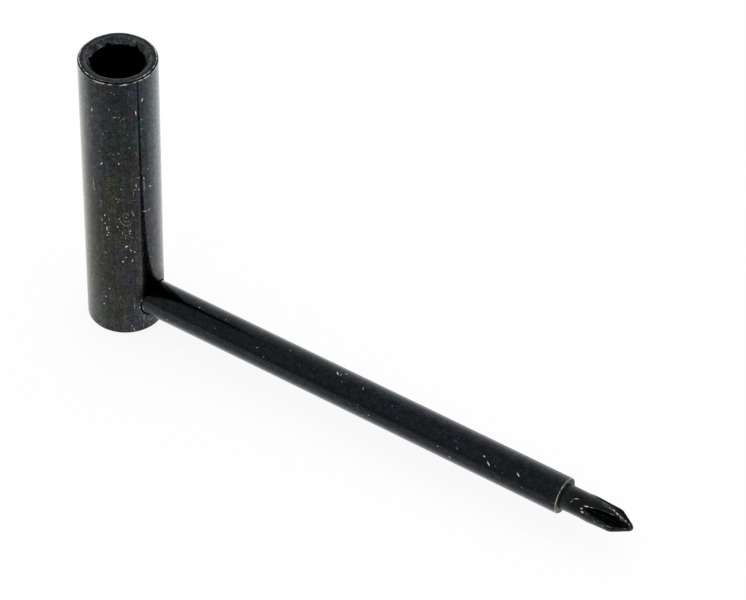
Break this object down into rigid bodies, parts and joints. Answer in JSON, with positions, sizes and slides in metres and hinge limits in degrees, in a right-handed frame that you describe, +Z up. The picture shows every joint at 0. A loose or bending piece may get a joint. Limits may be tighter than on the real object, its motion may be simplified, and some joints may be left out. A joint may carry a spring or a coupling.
{
  "type": "truss rod wrench",
  "caption": "L-shaped blackened steel wrench: an upright barrel with a hexagonal socket, and a round handle rod that ends in a cross-point screwdriver bit.",
  "frame": {"origin": "centre of the flat foot of the socket barrel", "axes": "+Z up the barrel's axis to the mouth of the socket, +X out along the handle rod"},
  "size_m": [0.1018, 0.0124, 0.0527],
  "materials": {
    "barrel_steel": "black oxide over drawn bar, glossy, with faint lengthwise streaks, nicks and bright worn rims",
    "rod_steel": "black oxide over smooth bar, glossy blue-black, with fine flecks and a bright worn end edge",
    "bit_steel": "black oxide over hardened steel, darker in the flutes and worn bright along the wings"
  },
  "bodies": {
    "root": {"socket_barrel": "barrel_steel", "handle_rod": "rod_steel", "phillips_bit": "bit_steel"}
  },
  "joints": []
}
